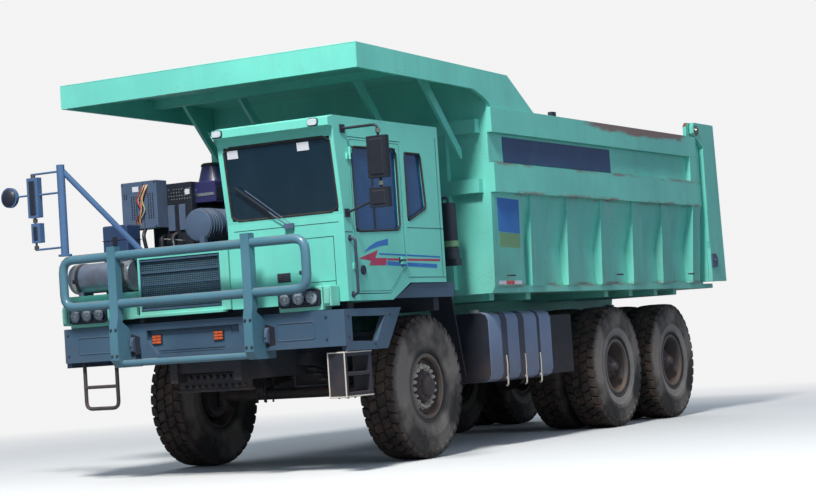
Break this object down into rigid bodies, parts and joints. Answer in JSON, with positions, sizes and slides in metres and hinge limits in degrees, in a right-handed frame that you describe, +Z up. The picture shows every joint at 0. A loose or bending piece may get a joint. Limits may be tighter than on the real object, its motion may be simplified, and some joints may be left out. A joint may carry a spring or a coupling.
{
  "type": "mining dump truck",
  "caption": "wide-body mining dump truck with an offset cab, a tipping body with a cab canopy, a hung tailgate, steered front wheels and twin rear wheels",
  "frame": {"origin": "on the ground under the middle of the truck's length and width", "axes": "+Z up, the front faces -Y, the driver's side is +X, metres"},
  "size_m": [4.44, 10.15, 4.138],
  "materials": {
    "mint_paint": "semi-gloss, dusty",
    "slate_paint": "satin",
    "dark_metal": "matte",
    "bare_steel": "brushed",
    "clear_glass": "clear",
    "tyre_rubber": "matte, dusty",
    "rim_paint": "matte, dusty",
    "lamp": "clear",
    "tank_metal": "satin",
    "grey_paint": "satin",
    "trim_plastic": "matte"
  },
  "bodies": {
    "chassis": {"chassis_frame": "dark_metal", "front_bumper": "slate_paint", "bull_bar": "slate_paint", "headlamp_left": "lamp", "headlamp_right": "lamp", "grille_housing": "mint_paint", "engine_and_driveline": "dark_metal", "upper_engine_unit": "dark_metal", "control_box": "grey_paint", "air_filter": "grey_paint", "right_deck": "mint_paint", "muffler": "bare_steel", "service_box": "slate_paint", "cab_shell": "mint_paint", "windshield": "clear_glass", "seat": "trim_plastic", "dashboard": "trim_plastic", "mirror_left": "trim_plastic", "mirror_right": "slate_paint", "fender_left": "slate_paint", "fender_right": "slate_paint", "step_left": "bare_steel", "fuel_tank_left": "tank_metal", "fluid_tank_right": "tank_metal", "locker_left": "dark_metal", "locker_right": "dark_metal", "filter_canister": "dark_metal", "front_axle": "dark_metal", "rear_axle_1": "dark_metal", "rear_axle_2": "dark_metal", "rear_springs": "dark_metal"},
    "door": {"cab_door": "mint_paint", "door_glass": "clear_glass"},
    "knuckle_left": {"knuckle_left": "dark_metal"},
    "knuckle_right": {"knuckle_right": "dark_metal"},
    "wheel_front_left": {"wheel_front_left_rim": "rim_paint", "wheel_front_left_tyre": "tyre_rubber"},
    "wheel_rear_1_left": {"wheel_rear_1_left_rim": "rim_paint", "wheel_rear_1_left_outer_tyre": "tyre_rubber", "wheel_rear_1_left_inner_tyre": "tyre_rubber"},
    "wheel_rear_2_left": {"wheel_rear_2_left_rim": "rim_paint", "wheel_rear_2_left_outer_tyre": "tyre_rubber", "wheel_rear_2_left_inner_tyre": "tyre_rubber"},
    "wheel_front_right": {"wheel_front_right_rim": "rim_paint", "wheel_front_right_tyre": "tyre_rubber"},
    "wheel_rear_1_right": {"wheel_rear_1_right_rim": "rim_paint", "wheel_rear_1_right_outer_tyre": "tyre_rubber", "wheel_rear_1_right_inner_tyre": "tyre_rubber"},
    "wheel_rear_2_right": {"wheel_rear_2_right_rim": "rim_paint", "wheel_rear_2_right_outer_tyre": "tyre_rubber", "wheel_rear_2_right_inner_tyre": "tyre_rubber"},
    "dump_body": {"body_floor": "mint_paint", "body_side_left": "mint_paint", "body_side_right": "mint_paint", "body_front_wall": "mint_paint", "canopy": "mint_paint"},
    "tailgate": {"tailgate": "mint_paint"},
    "hoist_barrel": {"hoist_barrel": "dark_metal"},
    "hoist_stage_1": {"hoist_stage_1": "bare_steel"},
    "hoist_stage_2": {"hoist_stage_2": "bare_steel"}
  },
  "joints": [
    {"name": "dump_hinge", "type": "hinge", "parent": "chassis", "child": "dump_body", "pos_m": [0, 4.165, 1.45], "axis": [-1, 0, 0], "range_deg": [0, 48]},
    {"name": "tailgate_hinge", "type": "hinge", "parent": "dump_body", "child": "tailgate", "pos_m": [0, 4.235, 3.78], "axis": [1, 0, 0], "range_deg": [0, 75]},
    {"name": "door_hinge", "type": "hinge", "parent": "chassis", "child": "door", "pos_m": [1.733, -4.525, 2.5], "axis": [0, 0, -1], "range_deg": [0, 70]},
    {"name": "steer_left", "type": "hinge", "parent": "chassis", "child": "knuckle_left", "pos_m": [1.06, -2.885, 0.746], "axis": [0, 0, 1], "range_deg": [-32, 32]},
    {"name": "steer_right", "type": "hinge", "parent": "chassis", "child": "knuckle_right", "pos_m": [-1.06, -2.885, 0.746], "axis": [0, 0, 1], "range_deg": [-32, 32]},
    {"name": "spin_front_left", "type": "hinge", "parent": "knuckle_left", "child": "wheel_front_left", "pos_m": [1.315, -2.885, 0.746], "axis": [1, 0, 0], "continuous": true},
    {"name": "spin_rear_1_left", "type": "hinge", "parent": "chassis", "child": "wheel_rear_1_left", "pos_m": [1.105, 1.83, 0.746], "axis": [1, 0, 0], "continuous": true},
    {"name": "spin_rear_2_left", "type": "hinge", "parent": "chassis", "child": "wheel_rear_2_left", "pos_m": [1.105, 3.6, 0.746], "axis": [1, 0, 0], "continuous": true},
    {"name": "spin_front_right", "type": "hinge", "parent": "knuckle_right", "child": "wheel_front_right", "pos_m": [-1.315, -2.885, 0.746], "axis": [1, 0, 0], "continuous": true},
    {"name": "spin_rear_1_right", "type": "hinge", "parent": "chassis", "child": "wheel_rear_1_right", "pos_m": [-1.105, 1.83, 0.746], "axis": [1, 0, 0], "continuous": true},
    {"name": "spin_rear_2_right", "type": "hinge", "parent": "chassis", "child": "wheel_rear_2_right", "pos_m": [-1.105, 3.6, 0.746], "axis": [1, 0, 0], "continuous": true},
    {"name": "hoist_tilt", "type": "hinge", "parent": "chassis", "child": "hoist_barrel", "pos_m": [0, -0.985, 1], "axis": [1, 0, 0], "range_deg": [0, 28.7]},
    {"name": "hoist_slide_1", "type": "slide", "parent": "hoist_barrel", "child": "hoist_stage_1", "axis": [0, 0.9514, 0.3078], "range_m": [0, 1.2285]},
    {"name": "hoist_slide_2", "type": "slide", "parent": "hoist_stage_1", "child": "hoist_stage_2", "axis": [0, 0.9514, 0.3078], "range_m": [0, 1.2285]}
  ],
  "couplings": [
    {"joint": "steer_right", "follows": "steer_left", "ratio": 1},
    {"joint": "hoist_tilt", "follows": "dump_hinge", "ratio": 0.59683},
    {"joint": "hoist_slide_1", "follows": "dump_hinge", "m_per_rad": 1.4653},
    {"joint": "hoist_slide_2", "follows": "dump_hinge", "m_per_rad": 1.4653}
  ]
}
